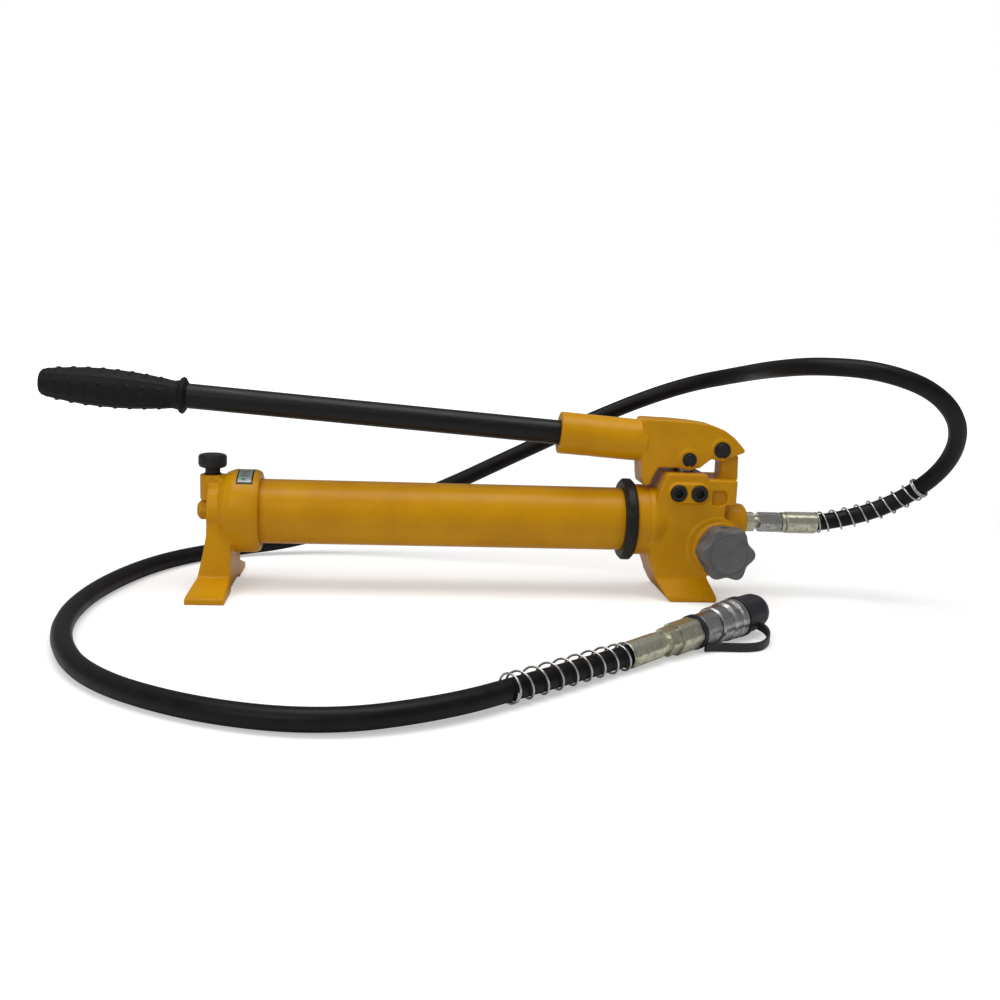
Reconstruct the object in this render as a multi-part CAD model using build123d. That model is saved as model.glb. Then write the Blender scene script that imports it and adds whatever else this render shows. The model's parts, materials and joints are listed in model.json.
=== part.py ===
from build123d import *

import math
import os

# Hydraulic hand pump. Millimetres. X runs along the reservoir towards the outlet port, Z is up,
# and the front of the pump faces -Y. The origin is on the floor, below the plunger's axis.

# ---- driving dimensions -------------------------------------------------------------------
AXIS_Z = 75.0            # reservoir, tie rod and outlet axis above the floor
FIT = 0.05               # radial clearance of a shaft that turns or slides in its hole
TUBE_OD = 63.0
TUBE_WALL = 3.0
TUBE_X0 = -452.0
TUBE_X1 = -42.0

NECK_X0 = -57.5          # left face of the pump head casting
NECK_R = 35.5
BLOCK_X1 = 41.5
BLOCK_HALF_Y = 30.0
BLOCK_TOP = 126.5
SHELF_TOP = 121.0        # top of the block beside the fulcrum post
POST_X0 = 28.5           # left and right faces of the fulcrum post
POST_X1 = 47.0

BUMPER_X0 = -69.0
BUMPER_X1 = -57.5
BUMPER_R = 41.0

CAP_X1 = -424.5          # open end of the rear cap
DOME_X0 = -464.0
DOME_R = 40.5
BACK_X0 = -473.5
FILLER_X = -471.4
FILLER_KNOB_R = 13.5
FILLER_BOSS_R = 12.0
FILLER_BOSS_TOP = 110.5
FILLER_BOSS_LOW = 85.5

PLUNGER_X = -6.5
PLUNGER_R = 10.0
PLUNGER_TIP_R = 6.0
PLUNGER_SHOULDER_Z = 88.0
PLUNGER_BOTTOM_Z = 52.0
CYLINDER_R = 12.5
CYLINDER_BOTTOM_Z = 48.0
CYLINDER_TOP_Z = 112.0
GLAND_R = 13.5

PIN_A = (PLUNGER_X, 139.5)   # plunger pin, X and Z
PIN_A_R = 5.2
PIN_B = (26.0, 149.9)    # fulcrum pin, X and Z
PIN_B_R = 6.4
POST_HALF_Y = 11.0
CHEEK_IN_Y = 12.0
CHEEK_OUT_Y = 19.0
BOSS_OUT_Y = 20.5
PIN_HALF_LENGTH = 22.6
CLIP_Y = (20.9, 21.9)    # faces of the retaining rings on each pin

SOCKET_R = 20.8
SOCKET_LENGTH = 80.0
HANDLE_R = 12.0
HANDLE_WALL = 2.5
HANDLE_SLOPE = 3.86      # degrees, falling towards the fulcrum
HANDLE_MOUTH = (-135.0, 160.9)   # centre of the socket's mouth, X and Z
HANDLE_IN_SOCKET = 62.0
GRIP_START = 354.0       # from the socket's mouth, along the handle
GRIP_END = 498.0

KNOB_X = 27.2            # release valve axis
KNOB_Z = 52.8
VALVE_FACE_Y = -34.0
SPINDLE_R = 5.0
KNOB_BACK_Y = -37.0
KNOB_FRONT_Y = -62.0
KNOB_R = 27.4            # over the lobes
KNOB_LOBE = 2.4          # half the depth of the hollows between lobes
KNOB_LOBES = 6

PORT_X = 60.5            # face of the outlet boss
PORT_R = 18.6
PLUG_Z = 107.6
PLUG_XS = (-18.2, 2.8)
PLUG_R = 8.1
PAD_R = 10.1
NIPPLE_X0 = 43.0         # inner end of the outlet nipple
RELIEF_SCREW = (-20.0, 100.0)   # on the back of the block, X and Z
PAD_FACE_Y = -34.0

HOSE_D = 17.0
GUARD_IN_R = 9.1
GUARD_OUT_R = 11.6
FERRULE_R = 11.0
HOSE_START_X = 135.5
# stations along the coupler's own axis
COUPLER_FERRULE_X0 = -7.0
ADAPTER_X0 = 33.0
COUPLER_HEX_X0 = 52.4
COUPLER_BODY_X0 = 79.0
CAP_SEAT_X = COUPLER_BODY_X0 + 62.4
COUPLER_TURN = 38.0      # degrees from +X towards +Y, the way the coupler lies
COUPLER_TILT = 2.6       # degrees that its axis climbs
COUPLER_START = (-105.5, -245.2, 11.9)

# Route of the hose, from the outlet ferrule over the back of the pump and round to the coupler.
HOSE_ROUTE = [
    (134.8, 0, 75),
    (174, -2, 81),
    (222, -17, 106),
    (246, -50, 145),
    (236, -86, 187),
    (196, -109, 221),
    (142, -107, 238),
    (94, -76, 239),
    (69, -26, 232),
    (65, 47, 223),
    (16, 101, 206),
    (-57, 122, 174),
    (-159, 130, 122),
    (-240, 134, 80),
    (-325, 148, 42),
    (-405, 146, 14),
    (-475, 124, 8.6),
    (-530, 66, 8.5),
    (-562, -20, 8.6),
    (-574, -115, 8.5),
    (-560, -210, 8.6),
    (-516, -300, 8.5),
    (-430, -364, 8.6),
    (-340, -390, 9.6),
    (-258.5, -366, 11.9),
    (-197, -318.5, 11.8),
    (-151, -282.5, 11.9),
    (-110.4, -249.0, 11.6),
]
STRAP_ROUTE = [
    (-32.8, -204.4, 5.1),
    (-18.5, -201.2, 4.4),
    (-5.5, -201.2, 4.2),
    (7.6, -200.5, 4.2),
    (17.6, -196.6, 4.3),
    (24.8, -189.0, 4.6),
    (30.3, -179.8, 5.8),
    (32.8, -169.3, 8.4),
    (28.0, -159.2, 11.4),
]
GUARD_CORNERS = 2        # corners of the route that each spring guard covers
GUARD_GAP = 2.0          # from the hose's end, inside the ferrule's mouth, to the guard's end
OUTLET_GUARD_PART = 0.47     # how far each guard reaches along its last run
COUPLER_GUARD_PART = 0.34


# ---- helpers --------------------------------------------------------------------------------
def cyl_x(x0, x1, r, y=0.0, z=AXIS_Z):
    """Cylinder along X."""
    return Pos((x0 + x1) / 2, y, z) * Rot(0, 90, 0) * Cylinder(r, abs(x1 - x0))


def cyl_y(y0, y1, r, x, z):
    """Cylinder along Y."""
    return Pos(x, (y0 + y1) / 2, z) * Rot(90, 0, 0) * Cylinder(r, abs(y1 - y0))


def cyl_z(z0, z1, r, x=0.0, y=0.0):
    """Cylinder along Z."""
    return Pos(x, y, (z0 + z1) / 2) * Cylinder(r, abs(z1 - z0))


def box(x0, x1, y0, y1, z0, z1):
    """Box between two corners."""
    centre = Pos((x0 + x1) / 2, (y0 + y1) / 2, (z0 + z1) / 2)
    return centre * Box(abs(x1 - x0), abs(y1 - y0), abs(z1 - z0))


def hex_x(x0, x1, across_flats, z=AXIS_Z):
    """Hexagonal bar along X, with two flats facing up and down."""
    return Pos(x0, 0, z) * Rot(0, 90, 0) * Rot(0, 0, 30) * extrude(hexagon(across_flats), x1 - x0)


def hexagon(across_flats):
    return RegularPolygon(across_flats / 2, 6, major_radius=False)


def extrude_xz(points, y0, y1):
    """Closed outline in X and Z, extruded from y0 to y1."""
    face = make_face(Polyline([(x, 0, z) for x, z in points], close=True))
    return Pos(0, max(y0, y1), 0) * extrude(face, abs(y1 - y0), dir=(0, -1, 0))


def extrude_yz(points, x0, x1):
    """Closed outline in Y and Z, extruded from x0 to x1."""
    face = make_face(Polyline([(0, y, z) for y, z in points], close=True))
    return Pos(min(x0, x1), 0, 0) * extrude(face, abs(x1 - x0), dir=(1, 0, 0))


def revolve_profile(points):
    """Solid of revolution about X from (distance along X, radius) points."""
    face = make_face(Polyline([(x, r, 0) for x, r in points], close=True))
    return revolve(face, Axis.X)


def revolve_at_axis(points):
    """Solid of revolution about the reservoir's axis."""
    return Pos(0, 0, AXIS_Z) * revolve_profile(points)


def ring_x(x, major, minor):
    """O-ring round the X axis at AXIS_Z."""
    return Pos(x, 0, AXIS_Z) * Rot(0, 90, 0) * Torus(major, minor)


def on_handle():
    """Frame at the socket's mouth: local X runs along the handle away from the fulcrum."""
    return Pos(HANDLE_MOUTH[0], 0, HANDLE_MOUTH[1]) * Rot(0, 180 + HANDLE_SLOPE, 0)


def on_coupler():
    """Frame at the start of the coupler's ferrule: local X runs towards the dust cap."""
    return Pos(*COUPLER_START) * Rot(0, 0, COUPLER_TURN) * Rot(0, -COUPLER_TILT, 0)


def foot(side_view, end_view):
    """Foot whose side view, in X and Z, is cut to an end view in Y and Z given for one half."""
    xs = [x for x, z in side_view]
    half_y = max(y for y, z in end_view)
    outline = end_view + [(-y, z) for y, z in reversed(end_view)]
    return extrude_xz(side_view, -half_y, half_y) & extrude_yz(outline, min(xs), max(xs))


# ---- reservoir --------------------------------------------------------------------------------
def reservoir_tube():
    return cyl_x(TUBE_X0, TUBE_X1, TUBE_OD / 2) - cyl_x(TUBE_X0 - 1, TUBE_X1 + 1, TUBE_OD / 2 - TUBE_WALL)


def bumper_ring():
    width = BUMPER_X1 - BUMPER_X0
    inner = TUBE_OD / 2
    profile = [
        (0, inner),
        (width, inner),
        (width, BUMPER_R - 2.5),
        (width - 2.5, BUMPER_R),
        (2.5, BUMPER_R),
        (0, BUMPER_R - 2.5),
    ]
    return Pos(BUMPER_X0, 0, AXIS_Z) * revolve_profile(profile)


def rear_foot():
    side_view = [
        (-486, 0),
        (-486, 6),
        (-480.5, 16),
        (-478.5, 26),
        (-475.5, 42),
        (BACK_X0, 55),
        (BACK_X0, AXIS_Z - 9),
        (-450, AXIS_Z - 9),
        (-450, 0),
    ]
    return foot(side_view, [(77, 0), (77, 5.5), (38, 17), (29, AXIS_Z - 9)])


def rear_cap():
    dome = revolve_profile([
        (DOME_X0 + 5, 0),
        (DOME_X0, 0),
        (DOME_X0, DOME_R - 15),
        (DOME_X0 + 2.5, DOME_R - 8),
        (DOME_X0 + 7, DOME_R - 3),
        (DOME_X0 + 14, DOME_R),
        (CAP_X1 - 4, DOME_R),
        (CAP_X1 - 3.4, DOME_R - 1),
        (CAP_X1 - 1, DOME_R - 1.4),
        (CAP_X1, DOME_R - 2.6),
        (CAP_X1, 0),
    ])
    body = Pos(0, 0, AXIS_Z) * dome
    body += cyl_x(BACK_X0, DOME_X0 + 2, 30)
    body += rear_foot()
    body += cyl_z(FILLER_BOSS_LOW, FILLER_BOSS_TOP, FILLER_BOSS_R, x=FILLER_X)
    body += box(FILLER_X, DOME_X0 + 12, -FILLER_BOSS_R, FILLER_BOSS_R, FILLER_BOSS_LOW, FILLER_BOSS_TOP - 3)
    body -= extrude_yz([(-32, 0), (-27, 4), (27, 4), (32, 0), (0, -1)], BACK_X0 - 15, CAP_X1)
    body -= cyl_x(TUBE_X0, CAP_X1 + 1, TUBE_OD / 2)
    body -= cyl_x(DOME_X0 + 4, TUBE_X0 + 1, TUBE_OD / 2 - TUBE_WALL)
    body -= cyl_x(-434.0, -430.8, TUBE_OD / 2 + 2.5)
    body -= cyl_x(BACK_X0 - 20, DOME_X0 + 5, 5)
    body -= cyl_z(94, FILLER_BOSS_TOP + 1, 6 + FIT, x=FILLER_X)
    body -= cyl_z(88, 94.5, 4, x=FILLER_X)
    body -= cyl_x(FILLER_X - 4, DOME_X0 + 5, 4, z=92)
    return body


def label_plate():
    arc = Pos(0, 0, AXIS_Z) * (cyl_x(-446, -430.5, DOME_R + 0.5, z=0) - cyl_x(-447, -430, DOME_R, z=0))
    low, high = math.radians(49), math.radians(86)
    far = 60
    wedge = extrude_yz([
        (0, AXIS_Z),
        (-far * math.cos(low), AXIS_Z + far * math.sin(low)),
        (-far * math.cos(high), AXIS_Z + far * math.sin(high)),
    ], -447, -430)
    return arc & wedge


def tie_rod():
    return cyl_x(BACK_X0 - 9, -33, 4.5)


def tie_rod_washer():
    return cyl_x(BACK_X0 - 1.6, BACK_X0, 10.2) - cyl_x(BACK_X0 - 2, BACK_X0 + 1, 5)


def tie_rod_nut():
    """Cap nut on the end of the tie rod."""
    outside = revolve_at_axis([
        (BACK_X0 - 12, 0),
        (BACK_X0 - 12, 6),
        (BACK_X0 - 10, 8.4),
        (BACK_X0 - 8.4, 9.8),
        (BACK_X0 - 1.6, 9.8),
        (BACK_X0 - 1.6, 0),
    ])
    return (hex_x(BACK_X0 - 12, BACK_X0 - 1.6, 17.6) & outside) - cyl_x(BACK_X0 - 9, BACK_X0, 4.5)


def suction_tube():
    run = cyl_x(-122, -40, 4, z=58) - cyl_x(-123, -39, 3, z=58)
    return run


def suction_strainer():
    body = revolve_profile([
        (0, 4),
        (14, 4),
        (14, 9),
        (2, 10),
        (-28, 10),
        (-30, 8),
        (-30, 0),
        (-28.6, 0),
        (-28.6, 7.6),
        (-27.4, 8.8),
        (0, 8.8),
    ])
    return Pos(-122, 0, 58) * body


# ---- pump head --------------------------------------------------------------------------------
def front_foot():
    side_view = [
        (-22, 0),
        (-26, 5),
        (-34, 18),
        (-38, 29),
        (-43, 40),
        (-43, 60),
        (17, 60),
        (17, 22),
        (25, 5),
        (25, 0),
    ]
    return foot(side_view, [(43, 0), (43, 4.5), (BLOCK_HALF_Y, 22), (BLOCK_HALF_Y, 60)])


def head_outside():
    neck = Pos(0, 0, AXIS_Z) * revolve_profile([
        (NECK_X0, 0),
        (NECK_X0, NECK_R - 0.8),
        (NECK_X0 + 0.8, NECK_R),
        (NECK_X0 + 13, NECK_R),
        (NECK_X0 + 13.6, NECK_R - 1.3),
        (NECK_X0 + 14.4, NECK_R - 1.3),
        (NECK_X0 + 15.6, NECK_R + 0.2),
        (NECK_X0 + 19, NECK_R - 0.2),
        (NECK_X0 + 25, NECK_R - 2.6),
        (NECK_X0 + 36, NECK_R - 7),
        (NECK_X0 + 36, 0),
    ])
    block = extrude_xz([
        (-38, 40),
        (-38, 104),
        (-30, BLOCK_TOP - 2),
        (-28, BLOCK_TOP),
        (10, BLOCK_TOP),
        (11.5, BLOCK_TOP - 1.5),
        (11.5, SHELF_TOP),
        (BLOCK_X1, SHELF_TOP),
        (BLOCK_X1, 44),
        (BLOCK_X1 - 8, 36),
        (-34, 36),
    ], -BLOCK_HALF_Y, BLOCK_HALF_Y)
    block -= box(31, BLOCK_X1 + 1, -BLOCK_HALF_Y - 1, -14, 62, 96)
    body = neck + block + front_foot()
    body += cyl_x(20, PORT_X - 7, PORT_R)
    body += Pos(PORT_X - 7, 0, AXIS_Z) * revolve_profile([
        (0, 0),
        (0, PORT_R),
        (3, PORT_R - 0.6),
        (5.4, PORT_R - 2.8),
        (7, PORT_R - 6.5),
        (7, 0),
    ])
    body += cyl_y(0, VALVE_FACE_Y, 26, KNOB_X, KNOB_Z)
    body += cyl_y(-12, VALVE_FACE_Y + 2.4, 29.5, KNOB_X - 3, KNOB_Z + 1)
    body += plug_pad()
    return body


def plug_pad():
    left, right = PLUG_XS
    pad = box(left, right, PAD_FACE_Y, -BLOCK_HALF_Y + 1, PLUG_Z - PAD_R, PLUG_Z + PAD_R)
    for x in PLUG_XS:
        pad += cyl_y(PAD_FACE_Y, -BLOCK_HALF_Y + 1, PAD_R, x, PLUG_Z)
    return pad


def fulcrum_post():
    bx, bz = PIN_B
    post = extrude_xz([
        (POST_X0, SHELF_TOP - 6),
        (POST_X0, 139),
        (POST_X0 - 7, 144),
        (bx - 11.6, bz),
        (bx, bz + 11),
        (bx + 12, bz),
        (bx + 16, 145.5),
        (POST_X1 - 0.6, 143),
        (POST_X1, 120),
        (BLOCK_X1 + 1, 112),
        (BLOCK_X1 + 1, 90),
        (BLOCK_X1 - 2, 90),
        (BLOCK_X1 - 2, SHELF_TOP - 6),
    ], -POST_HALF_Y, POST_HALF_Y)
    return post + cyl_y(-POST_HALF_Y, POST_HALF_Y, 11.9, bx, bz)


def head_cavities():
    cut = [
        cyl_x(NECK_X0 - 1, TUBE_X1, TUBE_OD / 2),
        cyl_x(TUBE_X1 - 1, -39.5, TUBE_OD / 2 - TUBE_WALL),
        cyl_x(-48.5, -45.3, TUBE_OD / 2 + 2.5),
        cyl_x(-40, -32, 4.5),
        cyl_x(-40, -36, 4, z=58),
        cyl_x(-37, -12, 3, z=58),
        plunger_bore(CYLINDER_BOTTOM_Z, CYLINDER_TOP_Z, CYLINDER_R),
        plunger_bore(CYLINDER_TOP_Z, BLOCK_TOP + 1, GLAND_R),
        cyl_y(-POST_HALF_Y - 1, POST_HALF_Y + 1, PIN_B_R, *PIN_B),
        cyl_y(VALVE_FACE_Y - 1, -26, 9, KNOB_X, KNOB_Z),
        cyl_y(-27, -8.5, SPINDLE_R + FIT, KNOB_X, KNOB_Z),
        cyl_y(-11, 2, 3, KNOB_X, KNOB_Z),
        cyl_x(NIPPLE_X0, PORT_X + 1, 7),
        cyl_x(30, NIPPLE_X0 + 1, 4),
        extrude_xz([(17, 97), (17, 110), (29, 110), (32, 107), (32, 98), (24, 95)],
                   -BLOCK_HALF_Y - 1, -BLOCK_HALF_Y + 6),
        cyl_y(BLOCK_HALF_Y + 1, 18, 7, *RELIEF_SCREW),
    ]
    for x in PLUG_XS:
        cut.append(cyl_y(PAD_FACE_Y - 1, -21, PLUG_R, x, PLUG_Z))
        cut.append(cyl_y(-22, -15.4, 3.4, x, PLUG_Z))
    return cut


def pump_head():
    body = head_outside() + fulcrum_post()
    for cavity in head_cavities():
        body -= cavity
    return body


def plunger_bore(z0, z1, r):
    """Cylinder on the plunger's axis."""
    return cyl_z(z0, z1, r, x=PLUNGER_X)


def pump_cylinder():
    body = plunger_bore(CYLINDER_BOTTOM_Z, CYLINDER_TOP_Z, CYLINDER_R)
    body -= plunger_bore(PLUNGER_SHOULDER_Z - 2, CYLINDER_TOP_Z + 1, PLUNGER_R + FIT)
    body -= plunger_bore(CYLINDER_BOTTOM_Z - 1, PLUNGER_SHOULDER_Z, PLUNGER_TIP_R + FIT)
    return body


def gland_nut():
    body = plunger_bore(CYLINDER_TOP_Z, BLOCK_TOP, GLAND_R)
    body -= plunger_bore(CYLINDER_TOP_Z - 1, BLOCK_TOP + 1, PLUNGER_R + FIT)
    body -= plunger_bore(BLOCK_TOP - 2.5, BLOCK_TOP + 1, PLUNGER_R + 2)
    body -= plunger_bore(CYLINDER_TOP_Z - 1, CYLINDER_TOP_Z + 3.5, PLUNGER_R + 2)
    return body


def wiper_ring():
    ring = plunger_bore(BLOCK_TOP - 2.5, BLOCK_TOP - 0.2, PLUNGER_R + 2)
    return ring - plunger_bore(BLOCK_TOP - 3, BLOCK_TOP, PLUNGER_R + FIT)


def plunger_seal():
    ring = plunger_bore(CYLINDER_TOP_Z, CYLINDER_TOP_Z + 3.5, PLUNGER_R + 2)
    return ring - plunger_bore(CYLINDER_TOP_Z - 1, CYLINDER_TOP_Z + 5, PLUNGER_R + FIT)


def hex_socket_y(y0, depth, across_flats, x, z):
    """Hexagonal recess that opens at y0 and runs in the +Y direction."""
    return Pos(x, y0, z) * Rot(-90, 0, 0) * extrude(hexagon(across_flats), depth)


def valve_plugs():
    plugs = []
    for x in PLUG_XS:
        plug = cyl_y(PAD_FACE_Y - 0.8, -21, PLUG_R, x, PLUG_Z)
        plug = chamfer(plug.edges().sort_by(Axis.Y)[0], 0.7)
        plug -= hex_socket_y(PAD_FACE_Y - 2, 7, 8, x, PLUG_Z)
        plug -= cyl_y(-25, -20, 3, x, PLUG_Z)
        plugs.append(plug)
    return Compound(plugs)


def check_springs():
    springs = []
    for x in PLUG_XS:
        path = Helix(1.3, 3.9, 2.0, center=(x, -24.6, PLUG_Z), direction=(0, 1, 0))
        wire = Plane(origin=path @ 0, z_dir=path % 0) * Circle(0.35)
        springs.append(sweep(wire, path))
    return Compound(springs)


def check_balls():
    return Compound([Pos(x, -17.9, PLUG_Z) * Sphere(2.4) for x in PLUG_XS])


def relief_screw():
    x, z = RELIEF_SCREW
    socket = Pos(x, BLOCK_HALF_Y, z) * Rot(90, 0, 0) * extrude(hexagon(6), 7)
    return cyl_y(18, BLOCK_HALF_Y - 1, 7, x, z) - socket


def outlet_nipple():
    shoulder = PORT_X + 9
    body = cyl_x(NIPPLE_X0, PORT_X, 7) + (hex_x(PORT_X, shoulder, 18.5) & cyl_x(PORT_X, shoulder, 10.2))
    body += cyl_x(shoulder, shoulder + 14.5, 6)
    return body - cyl_x(NIPPLE_X0 - 1, shoulder + 15, 3)


def pin_with_grooves(x, z, r):
    body = cyl_y(-PIN_HALF_LENGTH, PIN_HALF_LENGTH, r, x, z)
    low, high = CLIP_Y
    for side in (-1, 1):
        outer = cyl_y(side * low, side * high, r + 1, x, z)
        body -= outer - cyl_y(side * low, side * high, r - 0.8, x, z)
    ends = body.edges().filter_by(GeomType.CIRCLE)
    return chamfer([ends.sort_by(Axis.Y)[0], ends.sort_by(Axis.Y)[-1]], 0.5)


def retaining_rings(x, z, r):
    """Open ring in the groove at each end of a pin, with its gap at the bottom."""
    low, high = CLIP_Y
    rings = []
    for side in (-1, 1):
        ring = cyl_y(side * low, side * high, r + 1.8, x, z) - cyl_y(side * low, side * high, r - 0.8, x, z)
        rings.append(ring - box(x - 1.6, x + 1.6, -PIN_HALF_LENGTH, PIN_HALF_LENGTH, z - r - 3, z - r + 2))
    return Compound(rings)


# ---- lever ------------------------------------------------------------------------------------
def lever_head():
    ax, az = PIN_A
    bx, bz = PIN_B
    side = [
        (-53.5, 134.0),
        (-53.5, 176.8),
        (-51.5, 178.4),
        (-22, 177.6),
        (-3, 176.4),
        (16, 174.0),
        (28, 169.6),
        (38.5, 162.4),
        (46, 154.8),
        (50.4, 149.8),
        (49.2, 147.6),
        (42, 144.6),
        (34, 141.6),
        (16.1, 140.3),
        (9.3, 134.7),
        (4.5, 130.8),
        (-36.5, 131.0),
        (-41.5, 122.0),
        (-45.3, 112.6),
        (-51, 112.6),
        (-52.6, 122),
    ]
    body = extrude_xz(side, -CHEEK_OUT_Y, CHEEK_OUT_Y)
    body += cyl_y(-BOSS_OUT_Y, BOSS_OUT_Y, 10.6, ax, az)
    body += cyl_y(-BOSS_OUT_Y, BOSS_OUT_Y, 11, bx, bz)
    body += on_handle() * cyl_x(-SOCKET_LENGTH - 6, 0, SOCKET_R, z=0)
    # slot for the plunger and the fulcrum post, open below and to the right
    body -= box(ax - 16, ax + 12, -CHEEK_IN_Y, CHEEK_IN_Y, 100, az + 21)
    body -= box(ax + 11, 60, -CHEEK_IN_Y, CHEEK_IN_Y, 100, bz + 8)
    body -= cyl_y(-CHEEK_IN_Y, CHEEK_IN_Y, 17.6, bx, bz)
    # handle bore and pin holes
    body -= on_handle() * cyl_x(-HANDLE_IN_SOCKET, 1, HANDLE_R, z=0)
    body -= cyl_y(-30, 30, PIN_A_R, ax, az)
    body -= cyl_y(-30, 30, PIN_B_R + FIT, bx, bz)
    return body - screw_seat() * cyl_z(HANDLE_R - 1, SOCKET_R + 1, 4)


def handle_tube():
    tube = cyl_x(-HANDLE_IN_SOCKET, GRIP_END - 6, HANDLE_R, z=0)
    tube -= cyl_x(-HANDLE_IN_SOCKET - 1, GRIP_END, HANDLE_R - HANDLE_WALL, z=0)
    return on_handle() * tube


def handle_grip():
    profile = [
        (GRIP_START - 1, HANDLE_R),
        (GRIP_START - 1, HANDLE_R + 2),
        (GRIP_START + 1, 17.8),
        (GRIP_START + 4, 18.6),
        (GRIP_START + 6, 16.5),
        (GRIP_START + 10, 14.6),
        (GRIP_START + 24, 15.0),
        (GRIP_START + 42, 16.6),
        (GRIP_START + 62, 18.6),
        (GRIP_START + 82, 19.6),
        (GRIP_START + 104, 18.8),
        (GRIP_START + 124, 17.4),
        (GRIP_START + 137, 16.4),
        (GRIP_END - 4, 15.0),
        (GRIP_END, 12.5),
        (GRIP_END, 0),
        (GRIP_END - 6, 0),
        (GRIP_END - 6, HANDLE_R),
    ]
    return on_handle() * revolve_profile(profile)


def screw_seat():
    """Frame on the handle's axis: local Z points down through the socket's wall."""
    return on_handle() * Pos(-30, 0, 0)


def handle_screw():
    """Set screw that holds the handle in its socket, from below."""
    body = cyl_z(HANDLE_R, SOCKET_R - 0.6, 4)
    return screw_seat() * (body - Pos(0, 0, SOCKET_R - 4) * extrude(hexagon(4), 5))


# ---- plunger ----------------------------------------------------------------------------------
def plunger():
    ax, az = PIN_A
    body = plunger_bore(PLUNGER_SHOULDER_Z, az + 9, PLUNGER_R)
    body = chamfer(body.edges().sort_by(Axis.Z)[-1], 2.0)
    body += plunger_bore(PLUNGER_BOTTOM_Z, PLUNGER_SHOULDER_Z + 1, PLUNGER_TIP_R)
    slot_r = PIN_A_R + 0.35
    travel = 2.2
    slot = box(ax - travel, ax + travel, -12, 12, az - slot_r, az + slot_r)
    slot += cyl_y(-12, 12, slot_r, ax - travel, az) + cyl_y(-12, 12, slot_r, ax + travel, az)
    return body - slot


# ---- release valve ------------------------------------------------------------------------------
def release_gland():
    body = cyl_y(VALVE_FACE_Y, -26, 9, KNOB_X, KNOB_Z)
    return body - cyl_y(VALVE_FACE_Y - 1, -25, SPINDLE_R + FIT, KNOB_X, KNOB_Z)


def release_spindle():
    body = cyl_y(KNOB_FRONT_Y + 4, -12, SPINDLE_R, KNOB_X, KNOB_Z)
    tip = Pos(KNOB_X, -12 + 1.5, KNOB_Z) * Rot(-90, 0, 0) * Cone(SPINDLE_R, 2.5, 3)
    return body + tip


def lobed_outline(mean_r, swing, lobes):
    """Closed smooth outline with this many lobes, the first one pointing along +X."""
    points = []
    for step in range(8 * lobes):
        turn = math.tau * step / (8 * lobes)
        r = mean_r + swing * math.cos(lobes * turn)
        points.append((r * math.cos(turn), r * math.sin(turn)))
    return make_face(Spline(points, periodic=True))


def release_knob():
    depth = KNOB_BACK_Y - 4 - KNOB_FRONT_Y
    grip = extrude(lobed_outline(KNOB_R - KNOB_LOBE, KNOB_LOBE, KNOB_LOBES), depth)
    grip = fillet(grip.edges().group_by(Axis.Z)[-1], 2.0)
    grip = Pos(0, KNOB_BACK_Y - 4, 0) * Rot(90, 0, 0) * grip
    body = grip + cyl_y(KNOB_BACK_Y, KNOB_BACK_Y - 5, 24.4, 0, 0)
    body += cyl_y(KNOB_FRONT_Y + 1, KNOB_FRONT_Y - 1.4, 18.0, 0, 0)
    body -= Pos(0, KNOB_FRONT_Y - 52.6, 0) * Sphere(54)
    body = Pos(KNOB_X, 0, KNOB_Z) * body
    body -= cyl_y(KNOB_BACK_Y + 1, KNOB_FRONT_Y + 4, SPINDLE_R, KNOB_X, KNOB_Z)
    return body - knob_pin()


def knob_pin():
    return cyl_z(KNOB_Z + SPINDLE_R, KNOB_Z + 24, 1.5, x=KNOB_X, y=KNOB_BACK_Y - 2.6)


# ---- filler and vent ----------------------------------------------------------------------------
def filler_plug():
    body = cyl_z(97, FILLER_BOSS_TOP + 1.2, 6, x=FILLER_X)
    body += cyl_z(FILLER_BOSS_TOP + 1.2, 119, 7.1, x=FILLER_X)
    body -= cyl_z(96, 116, 1.5, x=FILLER_X)
    return body


def filler_knob():
    """Round knob with a shallow dish in its top."""
    profile = make_face(Polyline([
        (0, 0, 119),
        (7.1, 0, 119),
        (7.1, 0, 117),
        (FILLER_KNOB_R - 3, 0, 117),
        (FILLER_KNOB_R - 0.9, 0, 118),
        (FILLER_KNOB_R, 0, 120.2),
        (FILLER_KNOB_R, 0, 127.4),
        (FILLER_KNOB_R - 0.9, 0, 129.2),
        (FILLER_KNOB_R - 3, 0, 130.0),
        (FILLER_KNOB_R - 5, 0, 129.6),
        (0, 0, 128.6),
    ], close=True))
    return Pos(FILLER_X, 0, 0) * revolve(profile, Axis.Z)


def filler_seal():
    top = FILLER_BOSS_TOP + 1.2
    return cyl_z(FILLER_BOSS_TOP, top, 7.8, x=FILLER_X) - cyl_z(105, 115, 6 + 0.3, x=FILLER_X)


# ---- hose, its fittings and the coupler ---------------------------------------------------------
def swivel_nut():
    x0 = PORT_X + 14
    x1 = PORT_X + 38
    body = hex_x(x0, x1, 18.5) & revolve_at_axis([
        (x0, 0),
        (x0, 9.6),
        (x0 + 1, 10.6),
        (x1 - 2, 10.6),
        (x1, 9.0),
        (x1, 0),
    ])
    return body - cyl_x(x0 - 1, x1 + 1, 6 + 0.3)


def hose_stem():
    x0 = PORT_X + 38
    body = cyl_x(x0 - 12, x0, 6.2) + cyl_x(x0, x0 + 3, 10.4)
    return body - cyl_x(x0 - 13, x0 + 4, 3.2)


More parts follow.
